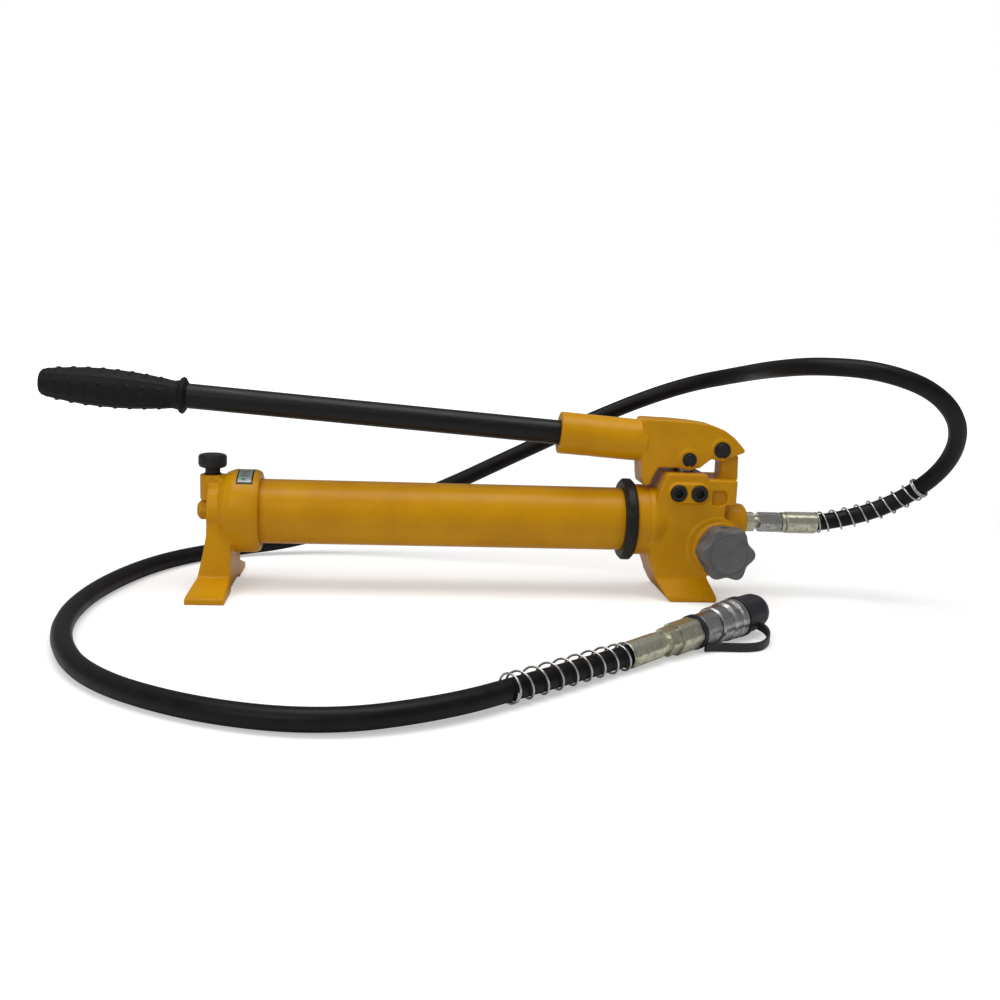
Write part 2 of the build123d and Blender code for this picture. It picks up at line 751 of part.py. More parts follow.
def crimped_ferrule(length):
    """Ferrule along local X from 0, crimped to eight flats, with a mouth for the hose at its end."""
    flats = extrude(RegularPolygon(FERRULE_R - 0.35, 8, major_radius=False), length - 3)
    body = Pos(2, 0, 0) * Rot(0, 90, 0) * flats
    body &= cyl_x(0, length, FERRULE_R, z=0)
    body += revolve_profile([
        (0, 0),
        (0, FERRULE_R - 2.4),
        (1.2, FERRULE_R - 1.0),
        (3.4, FERRULE_R - 1.0),
        (4.4, FERRULE_R - 2.0),
        (length - 2.0, FERRULE_R - 2.0),
        (length - 1.6, FERRULE_R - 0.6),
        (length, FERRULE_R - 0.8),
        (length, 0),
    ])
    return body - cyl_x(-1, length + 1, 3.2, z=0) - cyl_x(length - 2.4, length + 1, HOSE_D / 2 + 0.9, z=0)


def ferrule_outlet():
    return Pos(PORT_X + 41, 0, AXIS_Z) * crimped_ferrule(HOSE_START_X - PORT_X - 41)


def corner_radii(points):
    """Arc radius at each corner: 0.45 of the shorter run over the tangent of half the turn."""
    radii = []
    for before, corner, after in zip(points, points[1:], points[2:]):
        first = Vector(*corner) - Vector(*before)
        second = Vector(*after) - Vector(*corner)
        half_turn = math.radians(first.get_angle(second)) / 2
        radii.append(0.45 * min(first.length, second.length) / math.tan(half_turn))
    return radii


def route_tube(points, radii, outer, inner=0.0):
    """Round section swept along straight runs joined by tangent arcs."""
    path = FilletPolyline(*[Vector(*p) for p in points], radius=radii)
    start = Plane(origin=path @ 0, z_dir=path % 0)
    body = sweep(start * Circle(outer), path)
    if inner:
        body -= sweep(start * Circle(inner), path)
    return body, path.length


def hose():
    radii = corner_radii(HOSE_ROUTE)
    print("hose radii", [round(r) for r in radii])
    body, length = route_tube(HOSE_ROUTE, radii, HOSE_D / 2)
    section = math.pi * HOSE_D ** 2 / 4
    print("hose length", round(length, 1), "volume ratio", round(body.volume / (section * length), 4))
    return body


def spring_guard(points, radii, part):
    """Sleeve round the first runs of a route, as far as the given part of the last run."""
    start = Vector(*points[0])
    first_run = Vector(*points[1]) - start
    last_run = Vector(*points[GUARD_CORNERS + 1]) - Vector(*points[GUARD_CORNERS])
    start += first_run.normalized() * GUARD_GAP
    end = Vector(*points[GUARD_CORNERS]) + last_run * part
    covered = [tuple(start)] + points[1:GUARD_CORNERS + 1] + [tuple(end)]
    body, length = route_tube(covered, radii[:GUARD_CORNERS], GUARD_OUT_R, GUARD_IN_R)
    print("guard length", round(length, 1))
    return body


def spring_guard_outlet():
    return spring_guard(HOSE_ROUTE, corner_radii(HOSE_ROUTE), OUTLET_GUARD_PART)


def spring_guard_coupler():
    route = HOSE_ROUTE[::-1]
    return spring_guard(route, corner_radii(route), COUPLER_GUARD_PART)


def ferrule_coupler():
    ferrule = crimped_ferrule(ADAPTER_X0 - COUPLER_FERRULE_X0)
    return on_coupler() * Pos(ADAPTER_X0, 0, 0) * Rot(0, 0, 180) * ferrule


def hex_local(x0, x1, across_flats, corner_r):
    bar = hex_x(x0, x1, across_flats, z=0)
    return bar & cyl_x(x0, x1, corner_r, z=0)


def coupler_adapter():
    """Hose end: a waist, a hex shoulder and the stem that screws into the coupler's hex."""
    hex_x0 = ADAPTER_X0 + 7
    body = cyl_x(ADAPTER_X0, hex_x0, 9.2, z=0) + hex_local(hex_x0, COUPLER_HEX_X0 - 0.3, 22, 12.2)
    body += cyl_x(COUPLER_HEX_X0 - 0.3, COUPLER_BODY_X0 - 10, 7, z=0)
    return on_coupler() * (body - cyl_x(ADAPTER_X0 - 1, COUPLER_BODY_X0 - 9, 3.2, z=0))


def coupler_hex():
    body = hex_local(COUPLER_HEX_X0, COUPLER_BODY_X0, 26, 13.9)
    body -= cyl_x(COUPLER_HEX_X0 - 1, COUPLER_BODY_X0 - 10, 7, z=0)
    return on_coupler() * (body - cyl_x(COUPLER_BODY_X0 - 11, COUPLER_BODY_X0 + 1, 3.2, z=0))


def strap_band():
    x0 = COUPLER_BODY_X0 + 0.4
    return on_coupler() * (cyl_x(x0, x0 + 4.2, 15.0, z=0) - cyl_x(x0 - 1, x0 + 5, 12.4, z=0))


def coupler_body():
    """Half coupler: smooth sleeve behind the collar, and the core that the collar turns on."""
    body = revolve_profile([
        (0, 3.2),
        (0, 12.4),
        (5.6, 12.4),
        (5.6, 13.2),
        (6.4, 14.0),
        (25, 14.0),
        (25.6, 13.4),
        (25.6, 12.0),
        (62, 12.0),
        (62, 9.0),
        (50, 9.0),
        (50, 3.2),
    ])
    return on_coupler() * Pos(COUPLER_BODY_X0, 0, 0) * body


def coupler_collar():
    """Collar that turns on the coupler body: a plain grip, then two raised ridges."""
    inner = 12.0 + FIT
    body = revolve_profile([
        (26.0, inner),
        (26.0, 15.0),
        (27.6, 16.2),
        (39.0, 16.2),
        (40.2, 15.2),
        (42.0, 15.2),
        (44.0, 17.2),
        (49.6, 17.2),
        (51.2, 16.0),
        (53.2, 16.0),
        (54.6, 17.6),
        (60.2, 17.6),
        (61.4, 16.8),
        (61.4, inner),
    ])
    return on_coupler() * Pos(COUPLER_BODY_X0, 0, 0) * body


def dust_cap():
    """Rubber cap over the coupler's end, with ten flats round its body."""
    body = revolve_profile([
        (CAP_SEAT_X, 0),
        (CAP_SEAT_X, 17.7),
        (CAP_SEAT_X + 0.8, 18.1),
        (CAP_SEAT_X + 5, 18.1),
        (CAP_SEAT_X + 6.2, 16.8),
        (CAP_SEAT_X + 27, 16.3),
        (CAP_SEAT_X + 32.5, 14.4),
        (CAP_SEAT_X + 35.5, 10.8),
        (CAP_SEAT_X + 36, 0),
    ])
    skirt = cyl_x(CAP_SEAT_X - 1, CAP_SEAT_X + 5.8, 19, z=0)
    flats = extrude(RegularPolygon(16.1, 10, major_radius=False), 32)
    facets = Pos(CAP_SEAT_X + 5.8, 0, 0) * Rot(0, 90, 0) * flats
    return on_coupler() * (body & (skirt + facets))


def dust_cap_plug():
    """Stub of the cap that stops the coupler's mouth."""
    body = revolve_profile([
        (CAP_SEAT_X - 10.8, 0),
        (CAP_SEAT_X - 10.8, 7.4),
        (CAP_SEAT_X - 9.4, 8.6),
        (CAP_SEAT_X, 8.6),
        (CAP_SEAT_X, 0),
    ])
    return on_coupler() * body


def dust_cap_strap():
    """Flat rubber strap, on its edge, that loops over the floor from the band to the dust cap."""
    path = Spline([Vector(*p) for p in STRAP_ROUTE])
    sections = []
    for step in range(15):
        place = step / 14
        along = path % place
        across = Vector(0, 0, 1).cross(along).normalized()
        sections.append(Plane(origin=path @ place, x_dir=across, z_dir=along) * RectangleRounded(2.6, 7.8, 0.8))
    strap = loft(sections)
    for neighbour in (dust_cap(), strap_band()):
        strap -= Pos(0.08, -0.1, -0.08) * neighbour
    return strap


# ---- export -------------------------------------------------------------------------------------
def o_rings(x):
    return ring_x(x, TUBE_OD / 2 + 1.2, 1.2)


NODES = {
    "reservoir_tube": reservoir_tube,
    "bumper_ring": bumper_ring,
    "rear_cap": rear_cap,
    "label_plate": label_plate,
    "tie_rod": tie_rod,
    "tie_rod_washer": tie_rod_washer,
    "tie_rod_nut": tie_rod_nut,
    "rear_o_ring": lambda: o_rings(-432.4),
    "head_o_ring": lambda: o_rings(-46.9),
    "suction_tube": suction_tube,
    "suction_strainer": suction_strainer,
    "pump_head": pump_head,
    "pump_cylinder": pump_cylinder,
    "gland_nut": gland_nut,
    "wiper_ring": wiper_ring,
    "plunger_seal": plunger_seal,
    "valve_plugs": valve_plugs,
    "check_springs": check_springs,
    "check_balls": check_balls,
    "relief_screw": relief_screw,
    "release_gland": release_gland,
    "outlet_nipple": outlet_nipple,
    "fulcrum_pin": lambda: pin_with_grooves(*PIN_B, PIN_B_R),
    "fulcrum_circlips": lambda: retaining_rings(*PIN_B, PIN_B_R),
    "lever_head": lever_head,
    "handle_tube": handle_tube,
    "handle_grip": handle_grip,
    "handle_screw": handle_screw,
    "plunger_pin": lambda: pin_with_grooves(*PIN_A, PIN_A_R),
    "plunger_circlips": lambda: retaining_rings(*PIN_A, PIN_A_R),
    "plunger": plunger,
    "release_spindle": release_spindle,
    "release_knob": release_knob,
    "knob_pin": knob_pin,
    "filler_plug": filler_plug,
    "filler_knob": filler_knob,
    "filler_seal": filler_seal,
    "swivel_nut": swivel_nut,
    "hose_stem": hose_stem,
    "ferrule_outlet": ferrule_outlet,
    "spring_guard_outlet": spring_guard_outlet,
    "hose": hose,
    "spring_guard_coupler": spring_guard_coupler,
    "ferrule_coupler": ferrule_coupler,
    "coupler_adapter": coupler_adapter,
    "coupler_hex": coupler_hex,
    "strap_band": strap_band,
    "coupler_body": coupler_body,
    "coupler_collar": coupler_collar,
    "dust_cap": dust_cap,
    "dust_cap_plug": dust_cap_plug,
    "dust_cap_strap": dust_cap_strap,
}


def main():
    os.makedirs("parts", exist_ok=True)
    for node, make in NODES.items():
        export_step(make(), "parts/" + node + ".step")
        print("wrote", node)


main()
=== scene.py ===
import json
import math
from bisect import bisect_right

import bmesh
import bpy
from mathutils import Matrix, Vector


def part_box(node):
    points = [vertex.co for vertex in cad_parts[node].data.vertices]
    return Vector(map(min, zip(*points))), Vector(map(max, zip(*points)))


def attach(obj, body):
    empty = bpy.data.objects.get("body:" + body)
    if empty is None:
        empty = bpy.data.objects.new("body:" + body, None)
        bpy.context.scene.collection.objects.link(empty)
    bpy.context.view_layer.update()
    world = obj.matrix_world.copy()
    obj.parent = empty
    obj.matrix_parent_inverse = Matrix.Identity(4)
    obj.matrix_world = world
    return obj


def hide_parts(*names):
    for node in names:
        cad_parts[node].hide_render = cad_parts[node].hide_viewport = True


# Looks of the hydraulic hand pump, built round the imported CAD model. Metres, in the CAD frame:
# X runs along the reservoir towards the outlet, Z is up, and the front of the pump faces -Y.

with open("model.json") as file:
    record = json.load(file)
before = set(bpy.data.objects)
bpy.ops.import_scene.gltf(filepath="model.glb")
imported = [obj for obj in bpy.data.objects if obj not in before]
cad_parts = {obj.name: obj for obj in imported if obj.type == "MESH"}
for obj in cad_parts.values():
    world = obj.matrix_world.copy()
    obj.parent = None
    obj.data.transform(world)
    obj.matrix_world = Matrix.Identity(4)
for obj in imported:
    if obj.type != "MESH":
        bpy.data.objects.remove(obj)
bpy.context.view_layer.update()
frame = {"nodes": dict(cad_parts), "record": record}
NODES = frame["nodes"]
SLOTS = {part["node"]: part["material_slot"] for part in frame["record"]["subparts"]}
MM = 0.001

# ---- the camera ---------------------------------------------------------------------------------
CAMERA_PLACE = (-0.3020, -1.0766, 0.2800)
CAMERA_YAW = math.radians(5.89)
CAMERA_PITCH = math.radians(9.89)
CAMERA_ROLL = math.radians(2.36)
CAMERA_LENS = 39.66

# ---- the hose -----------------------------------------------------------------------------------
HOSE_DIAMETER = 0.017
HOSE_ROUTE = [
    (0.1348, 0, 0.075),
    (0.174, -0.002, 0.081),
    (0.222, -0.017, 0.106),
    (0.246, -0.050, 0.145),
    (0.236, -0.086, 0.187),
    (0.196, -0.109, 0.221),
    (0.142, -0.107, 0.238),
    (0.094, -0.076, 0.239),
    (0.069, -0.026, 0.232),
    (0.065, 0.047, 0.223),
    (0.016, 0.101, 0.206),
    (-0.057, 0.122, 0.174),
    (-0.159, 0.130, 0.122),
    (-0.240, 0.134, 0.080),
    (-0.325, 0.148, 0.042),
    (-0.405, 0.146, 0.014),
    (-0.475, 0.124, 0.0086),
    (-0.530, 0.066, 0.0085),
    (-0.562, -0.020, 0.0086),
    (-0.574, -0.115, 0.0085),
    (-0.560, -0.210, 0.0086),
    (-0.516, -0.300, 0.0085),
    (-0.430, -0.364, 0.0086),
    (-0.340, -0.390, 0.0096),
    (-0.2585, -0.366, 0.0119),
    (-0.197, -0.3185, 0.0118),
    (-0.151, -0.2825, 0.0119),
    (-0.1104, -0.2490, 0.0116),
]
GUARD_WIRE = 0.0018
GUARD_GAP = 0.002            # from the hose's end to the first turn
# each guard: length, turns, turns that touch at the fitting and at the free end, radius of the
# coil to the middle of the wire, and how far the slack coil stands above the hose's middle
OUTLET_GUARD = (0.111, 11, 1.0, 2.0, 0.0103, 0.0)
COUPLER_GUARD = (0.130, 10, 0.7, 1.2, 0.0108, 0.0012)

# ---- the handle's axis --------------------------------------------------------------------------
HANDLE_MOUTH = Vector((-0.135, 0, 0.1609))
HANDLE_SLOPE = math.radians(3.86)


# ---- materials ----------------------------------------------------------------------------------
class Look:
    """A procedural material: one Principled shader and the nodes that feed it."""

    def __init__(self, name, **sockets):
        self.material = bpy.data.materials.new(name)
        self.material.use_nodes = True
        self.tree = self.material.node_tree
        self.shader = self.tree.nodes["Principled BSDF"]
        self.place = self.node("ShaderNodeTexCoord").outputs["Object"]
        self.set(**sockets)

    def node(self, kind, **inputs):
        """Adds a node. An input is a number, a colour or another node's output."""
        made = self.tree.nodes.new(kind)
        for name, value in inputs.items():
            self.feed(made.inputs[name.replace("_", " ")], value)
        return made

    def feed(self, socket, value):
        if isinstance(value, bpy.types.NodeSocket):
            self.tree.links.new(value, socket)
        else:
            socket.default_value = value

    def set(self, **sockets):
        for name, value in sockets.items():
            self.feed(self.shader.inputs[name.replace("_", " ")], value)

    def noise(self, size, detail=3.0, roughness=0.55, vector=None):
        """Noise from 0 to 1 whose blotches are about this many metres across."""
        made = self.node(
            "ShaderNodeTexNoise",
            Vector=vector or self.place,
            Scale=1 / size,
            Detail=detail,
            Roughness=roughness,
        )
        return made.outputs["Fac"]

    def stretched(self, x, y, z):
        """The place in the frame, stretched along each axis."""
        made = self.node("ShaderNodeMapping", Vector=self.place, Scale=(x, y, z))
        return made.outputs["Vector"]

    def math(self, operation, *values):
        made = self.tree.nodes.new("ShaderNodeMath")
        made.operation = operation
        for socket, value in zip(made.inputs, values):
            self.feed(socket, value)
        return made.outputs["Value"]

    def span(self, value, low, high, to_low=0.0, to_high=1.0):
        """Value from low to high, mapped smoothly to another range and held at its ends."""
        made = self.tree.nodes.new("ShaderNodeMapRange")
        made.interpolation_type = "SMOOTHSTEP"
        for socket, number in zip(made.inputs, (value, low, high, to_low, to_high)):
            self.feed(socket, number)
        return made.outputs["Result"]

    def mix(self, share, first, second):
        """First colour where share is 0, second where it is 1."""
        made = self.tree.nodes.new("ShaderNodeMix")
        made.data_type = "RGBA"
        for name, value in (("Factor_Float", share), ("A_Color", first), ("B_Color", second)):
            self.feed(next(s for s in made.inputs if s.identifier == name), value)
        return next(s for s in made.outputs if s.identifier == "Result_Color")

    def edges(self, radius, low=0.02, high=0.25):
        """1 along the outer and inner edges of the shape, 0 on its open faces."""
        bevel = self.node("ShaderNodeBevel", Radius=radius)
        flat = self.tree.nodes.new("ShaderNodeNewGeometry").outputs["Normal"]
        dot = self.tree.nodes.new("ShaderNodeVectorMath")
        dot.operation = "DOT_PRODUCT"
        self.feed(dot.inputs[0], bevel.outputs["Normal"])
        self.feed(dot.inputs[1], flat)
        return self.span(self.math("SUBTRACT", 1.0, dot.outputs["Value"]), low, high)

    def bump(self, height, depth, radius=0.0):
        """Relief of this many metres, over edges rounded by a bevel where radius is given."""
        made = self.node("ShaderNodeBump", Height=height, Strength=1.0, Distance=depth)
        if radius:
            soft = self.node("ShaderNodeBevel", Radius=radius)
            self.feed(made.inputs["Normal"], soft.outputs["Normal"])
        self.set(Normal=made.outputs["Normal"])


def grey(value):
    return (value, value, value, 1)


def yellow_enamel(name, grain_size, grain_depth):
    """Glossy amber enamel. The castings show some of the sand grain under it."""
    look = Look(name, Specular_IOR_Level=0.2)
    drift = look.noise(0.045, 4.0)
    colour = look.mix(look.span(drift, 0.3, 0.7), (0.61, 0.275, 0.001, 1), (0.69, 0.325, 0.0014, 1))
    dust = look.span(look.noise(0.012, 6.0), 0.52, 0.85)
    colour = look.mix(look.math("MULTIPLY", dust, 0.18), colour, (0.40, 0.21, 0.02, 1))
    wear = look.math("MULTIPLY", look.edges(1.1 * MM), look.span(look.noise(0.006, 5.0, 0.7), 0.56, 0.66))
    colour = look.mix(look.math("MULTIPLY", wear, 0.8), colour, (0.10, 0.06, 0.03, 1))
    look.set(Base_Color=colour, Roughness=look.span(look.noise(0.004, 3.0), 0.2, 0.8, 0.26, 0.40))
    look.bump(look.noise(grain_size, 2.0), grain_depth, 0.5 * MM)
    return look.material


def black_enamel(name):
    """Semi-gloss black paint on the handle, with fine scuffs along it."""
    look = Look(name, Specular_IOR_Level=0.3)
    scuffs = look.noise(0.004, 4.0, 0.6, look.stretched(0.12, 1, 1))
    colour = look.mix(look.span(scuffs, 0.55, 0.8), grey(0.005), grey(0.013))
    look.set(Base_Color=colour, Roughness=look.span(scuffs, 0.3, 0.75, 0.34, 0.5))
    look.bump(look.noise(0.0011, 2.0), 0.02 * MM, 0.4 * MM)
    return look.material


def moulded_rubber(name, base, dusty, roughness, grain=0.05):
    """Black rubber: a fine moulded grain with a little dust in it."""
    look = Look(name, Specular_IOR_Level=0.25)
    dust = look.span(look.noise(0.009, 6.0, 0.65), 0.45, 0.8)
    colour = look.mix(dust, (*base, 1), (*dusty, 1))
    look.set(Base_Color=colour, Roughness=look.span(dust, 0.0, 1.0, roughness, roughness + 0.14))
    look.bump(look.noise(0.0009, 3.0), grain * MM, 0.4 * MM)
    return look.material


def hose_cover(name):
    """Black hose cover: smooth rubber with the faint print of its wrapping and patches of dust."""
    look = Look(name, Specular_IOR_Level=0.2)
    dust = look.span(look.noise(0.03, 6.0, 0.7), 0.4, 0.75)
    colour = look.mix(dust, (0.0035, 0.0032, 0.0045, 1), (0.010, 0.009, 0.012, 1))
    look.set(Base_Color=colour, Roughness=look.span(dust, 0.0, 1.0, 0.42, 0.56))
    look.bump(look.noise(0.0015, 3.0), 0.05 * MM)
    return look.material


def metal(name, bright, dull, roughness, blotch=0.006, grain=0.012, tint=None):
    """Bare or plated metal with blotches of a duller colour."""
    look = Look(name, Metallic=1.0)
    share = look.span(look.noise(blotch, 5.0, 0.65), 0.35, 0.7)
    colour = look.mix(share, (*bright, 1), (*dull, 1))
    if tint:
        bloom = look.span(look.noise(blotch * 2.2, 2.0), 0.5, 0.72)
        colour = look.mix(look.math("MULTIPLY", bloom, 0.5), colour, (*tint, 1))
    look.set(Base_Color=colour, Roughness=look.span(share, 0.0, 1.0, roughness, roughness + 0.16))
    look.bump(look.noise(0.0012, 3.0), grain * MM, 0.35 * MM)
    return look.material


def blackened_steel(name):
    """Oiled black oxide, worn to bare steel here and there along its edges."""
    look = Look(name, Metallic=0.7)
    wear = look.math("MULTIPLY", look.edges(0.5 * MM), look.span(look.noise(0.003, 4.0), 0.5, 0.7))
    look.set(Base_Color=look.mix(wear, (0.030, 0.029, 0.030, 1), (0.20, 0.19, 0.18, 1)))
    look.set(Roughness=look.span(look.noise(0.002, 4.0), 0.3, 0.7, 0.36, 0.52))
    look.bump(look.noise(0.0012, 2.0), 0.02 * MM, 0.3 * MM)
    return look.material


def grey_plastic(name):
    """Mid-grey moulded knob: spark-eroded grain, rubbed lighter on its lobes."""
    look = Look(name, Specular_IOR_Level=0.45)
    rubbed = look.math("MULTIPLY", look.edges(2.4 * MM, 0.03, 0.4), look.span(look.noise(0.008, 4.0), 0.3, 0.7))
    mottled = look.mix(look.span(look.noise(0.01, 5.0), 0.3, 0.75), grey(0.122), grey(0.152))
    look.set(Base_Color=look.mix(look.math("MULTIPLY", rubbed, 0.2), mottled, (0.20, 0.19, 0.185, 1)))
    look.set(Roughness=look.span(look.noise(0.0015, 3.0), 0.2, 0.8, 0.48, 0.62))
    look.bump(look.noise(0.0009, 2.0), 0.035 * MM, 0.5 * MM)
    return look.material


def label_foil(name):
    """Silver foil with a black border and plain generic bars. There is no lettering on it."""
    low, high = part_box("label_plate")
    cap_low, cap_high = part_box("rear_cap")
    look = Look(name, Metallic=0.55)
    split = look.node("ShaderNodeSeparateXYZ", Vector=look.place)
    x, y, z = (split.outputs[axis] for axis in "XYZ")
    along = look.math("DIVIDE", look.math("SUBTRACT", x, low.x), high.x - low.x)
    down = look.math("DIVIDE", look.math("SUBTRACT", high.y, y), high.y - low.y)

    def bar(left, right, top, bottom):
        inside_x = look.math("MULTIPLY", look.math("GREATER_THAN", along, left), look.math("LESS_THAN", along, right))
        inside_y = look.math("MULTIPLY", look.math("GREATER_THAN", down, top), look.math("LESS_THAN", down, bottom))
        return look.math("MULTIPLY", inside_x, inside_y)

    brushed = look.noise(0.0006, 3.0, 0.6, look.stretched(0.1, 1, 1))
    blotch = look.span(look.noise(0.0016, 4.0, 0.7), 0.4, 0.65)
    colour = look.mix(brushed, (0.30, 0.35, 0.33, 1), (0.50, 0.56, 0.54, 1))
    colour = look.mix(look.math("MULTIPLY", blotch, 0.55), colour, (0.13, 0.15, 0.15, 1))
    for place in ((0.24, 0.78, 0.24, 0.32), (0.24, 0.6, 0.42, 0.48), (0.24, 0.7, 0.58, 0.64)):
        colour = look.mix(bar(*place), colour, (0.10, 0.12, 0.13, 1))
    colour = look.mix(bar(0.3, 0.55, 0.74, 0.86), colour, (0.05, 0.22, 0.16, 1))
    colour = look.mix(bar(0.09, 0.91, 0.06, 0.94), (0.012, 0.012, 0.012, 1), colour)
    look.set(Base_Color=colour, Roughness=look.span(brushed, 0.2, 0.8, 0.28, 0.42))
    return look.material


LOOKS = {
    "yellow_paint": yellow_enamel("yellow_enamel", 0.0022, 0.05 * MM),
    "black_paint": black_enamel("black_enamel"),
    "grip_rubber": moulded_rubber("grip_rubber", (0.005, 0.005, 0.0055), (0.012, 0.0115, 0.0115), 0.62),
    "seal_rubber": moulded_rubber("seal_rubber", (0.012, 0.013, 0.012), (0.034, 0.032, 0.026), 0.46),
    "hose_rubber": hose_cover("hose_cover"),
    "black_steel": blackened_steel("black_oxide_steel"),
    "bright_steel": metal("bright_steel", (0.62, 0.61, 0.60), (0.42, 0.41, 0.40), 0.24),
    "zinc_plate": metal(
        "zinc_plate", (0.70, 0.69, 0.56), (0.42, 0.41, 0.31), 0.34, 0.005, 0.02, (0.50, 0.54, 0.35)
    ),
    "chrome_plate": metal("satin_chrome", (0.54, 0.535, 0.53), (0.29, 0.285, 0.28), 0.26, 0.004, 0.02),
    "brass": metal("brass", (0.62, 0.46, 0.19), (0.40, 0.29, 0.12), 0.3),
    "knob_plastic": grey_plastic("grey_knob_plastic"),
    "black_plastic": moulded_rubber("black_plastic", (0.018, 0.018, 0.0185), (0.034, 0.033, 0.033), 0.40, 0.03),
    "label_foil": label_foil("label_foil"),
}
TUBE_ENAMEL = yellow_enamel("yellow_enamel_tube", 0.012, 0.04 * MM)
CAP_RUBBER = moulded_rubber("dust_cap_rubber", (0.026, 0.0235, 0.029), (0.056, 0.051, 0.060), 0.42)


def dress(thing, material):
    thing.data.materials.clear()
    thing.data.materials.append(material)


def dress_cad_nodes():
    for node, thing in NODES.items():
        dress(thing, LOOKS[SLOTS[node]])
    dress(NODES["reservoir_tube"], TUBE_ENAMEL)
    dress(NODES["dust_cap"], CAP_RUBBER)
    dress(NODES["strap_band"], CAP_RUBBER)
    dress(NODES["dust_cap_strap"], CAP_RUBBER)


# ---- castings -----------------------------------------------------------------------------------
def soften_casting(node, voxel, passes):
    """Rounds a casting's edges and fills its inner corners, as sand casting does, without moving it."""
    thing = NODES[node]
    weld = thing.modifiers.new("join_faces", "WELD")
    weld.merge_threshold = 0.01 * MM
    remesh = thing.modifiers.new("even_mesh", "REMESH")
    remesh.mode = "VOXEL"
    remesh.voxel_size = voxel
    remesh.use_smooth_shade = True
    smooth = thing.modifiers.new("cast_rounding", "SMOOTH")
    smooth.factor = 0.5
    smooth.iterations = passes
    thin = thing.modifiers.new("fewer_faces", "DECIMATE")
    thin.ratio = 0.45


# ---- mesh helpers -------------------------------------------------------------------------------
def add_mesh(name, work, material, body):
    """Makes a piece from a bmesh, smooth-shaded, riding on a CAD body."""
    mesh = bpy.data.meshes.new(name)
    work.to_mesh(mesh)
    work.free()
    mesh.shade_smooth()
    piece = bpy.data.objects.new(name, mesh)
    bpy.context.scene.collection.objects.link(piece)
    dress(piece, material)
    if body:
        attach(piece, body)
    return piece


def skin_rings(work, rings, closed_ends=True):
    """Joins rings of points, each with the same count, into a tube."""
    made = [[work.verts.new(point) for point in ring] for ring in rings]
    count = len(made[0])
    for first, second in zip(made, made[1:]):
        for i in range(count):
            j = (i + 1) % count
            work.faces.new((first[i], first[j], second[j], second[i]))
    if closed_ends:
        work.faces.new(reversed(made[0]))
        work.faces.new(made[-1])
    bmesh.ops.recalc_face_normals(work, faces=work.faces)
    return made


def axis_frame(start, along):
    """Matrix whose X axis runs along a direction, with its Z axis as near upright as it can be."""
    x = along.normalized()
    y = Vector((0, 0, 1)).cross(x).normalized()
    z = x.cross(y)
    turned = Matrix((x, y, z)).transposed().to_4x4()
    turned.translation = start
    return turned


def profile_radius(profile, s):
    """Radius at s on a profile of (s, radius) points, eased smoothly between them."""
    places = [point[0] for point in profile]
    i = min(max(bisect_right(places, s) - 1, 0), len(profile) - 2)
    (s0, r0), (s1, r1) = profile[i], profile[i + 1]
    share = min(max((s - s0) / (s1 - s0), 0.0), 1.0)
    return r0 + (r1 - r0) * share * share * (3 - 2 * share)


# ---- lines that pieces follow -------------------------------------------------------------------
class Line:
    """Places along a curve's centreline, by distance from its first end."""

    def __init__(self, points):
        self.points = points
        self.steps = [0.0]
        for before, after in zip(points, points[1:]):
            self.steps.append(self.steps[-1] + (after - before).length)
        along = (points[1] - points[0]).normalized()
        side = Vector((0, 0, 1)).cross(along).normalized()
        self.sides = [side]
        for i in range(1, len(points)):
            along = (points[min(i + 1, len(points) - 1)] - points[i - 1]).normalized()
            side = (side - along * side.dot(along)).normalized()
            self.sides.append(side)

    def frame(self, distance):
        """(place, along, side, up) at a distance from the first end."""
        i = min(max(bisect_right(self.steps, distance) - 1, 0), len(self.points) - 2)
        share = (distance - self.steps[i]) / (self.steps[i + 1] - self.steps[i])
        place = self.points[i].lerp(self.points[i + 1], share)
        before = self.points[max(i - 1, 0)]
        after = self.points[min(i + 2, len(self.points) - 1)]
        first = (self.points[i + 1] - before).normalized()
        second = (after - self.points[i]).normalized()
        along = first.lerp(second, share).normalized()
        side = self.sides[i].lerp(self.sides[i + 1], share)
        side = (side - along * side.dot(along)).normalized()
        return place, along, side, along.cross(side)


def new_curve(name, points, kind, radius, resolution):
    """Curve object with one open spline through or near the points."""
    data = bpy.data.curves.new(name, "CURVE")
    data.dimensions = "3D"
    spline = data.splines.new(kind)
    spline.points.add(len(points) - 1)
    for point, place in zip(spline.points, points):
        point.co = (*place, 1)
    if kind == "NURBS":
        spline.order_u = 3
        spline.use_endpoint_u = True
    data.resolution_u = resolution
    data.bevel_depth = radius
    data.bevel_resolution = 6
    data.use_fill_caps = True
    piece = bpy.data.objects.new(name, data)
    bpy.context.scene.collection.objects.link(piece)
    return piece


def line_of(curve):
    """The smooth centreline of a curve object, read without its bevel."""
    plain = curve.copy()
    plain.data = curve.data.copy()
    plain.data.bevel_depth = 0.0
    mesh = bpy.data.meshes.new_from_object(plain)
    points = [vertex.co.copy() for vertex in mesh.vertices]
    bpy.data.meshes.remove(mesh)
    bpy.data.objects.remove(plain)
    return points


# ---- hose and its guards ------------------------------------------------------------------------
def build_hose():
    hose = new_curve("pressure_hose", HOSE_ROUTE, "NURBS", HOSE_DIAMETER / 2, 16)
    dress(hose, LOOKS["hose_rubber"])
    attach(hose, "root")
    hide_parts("hose")
    return hose


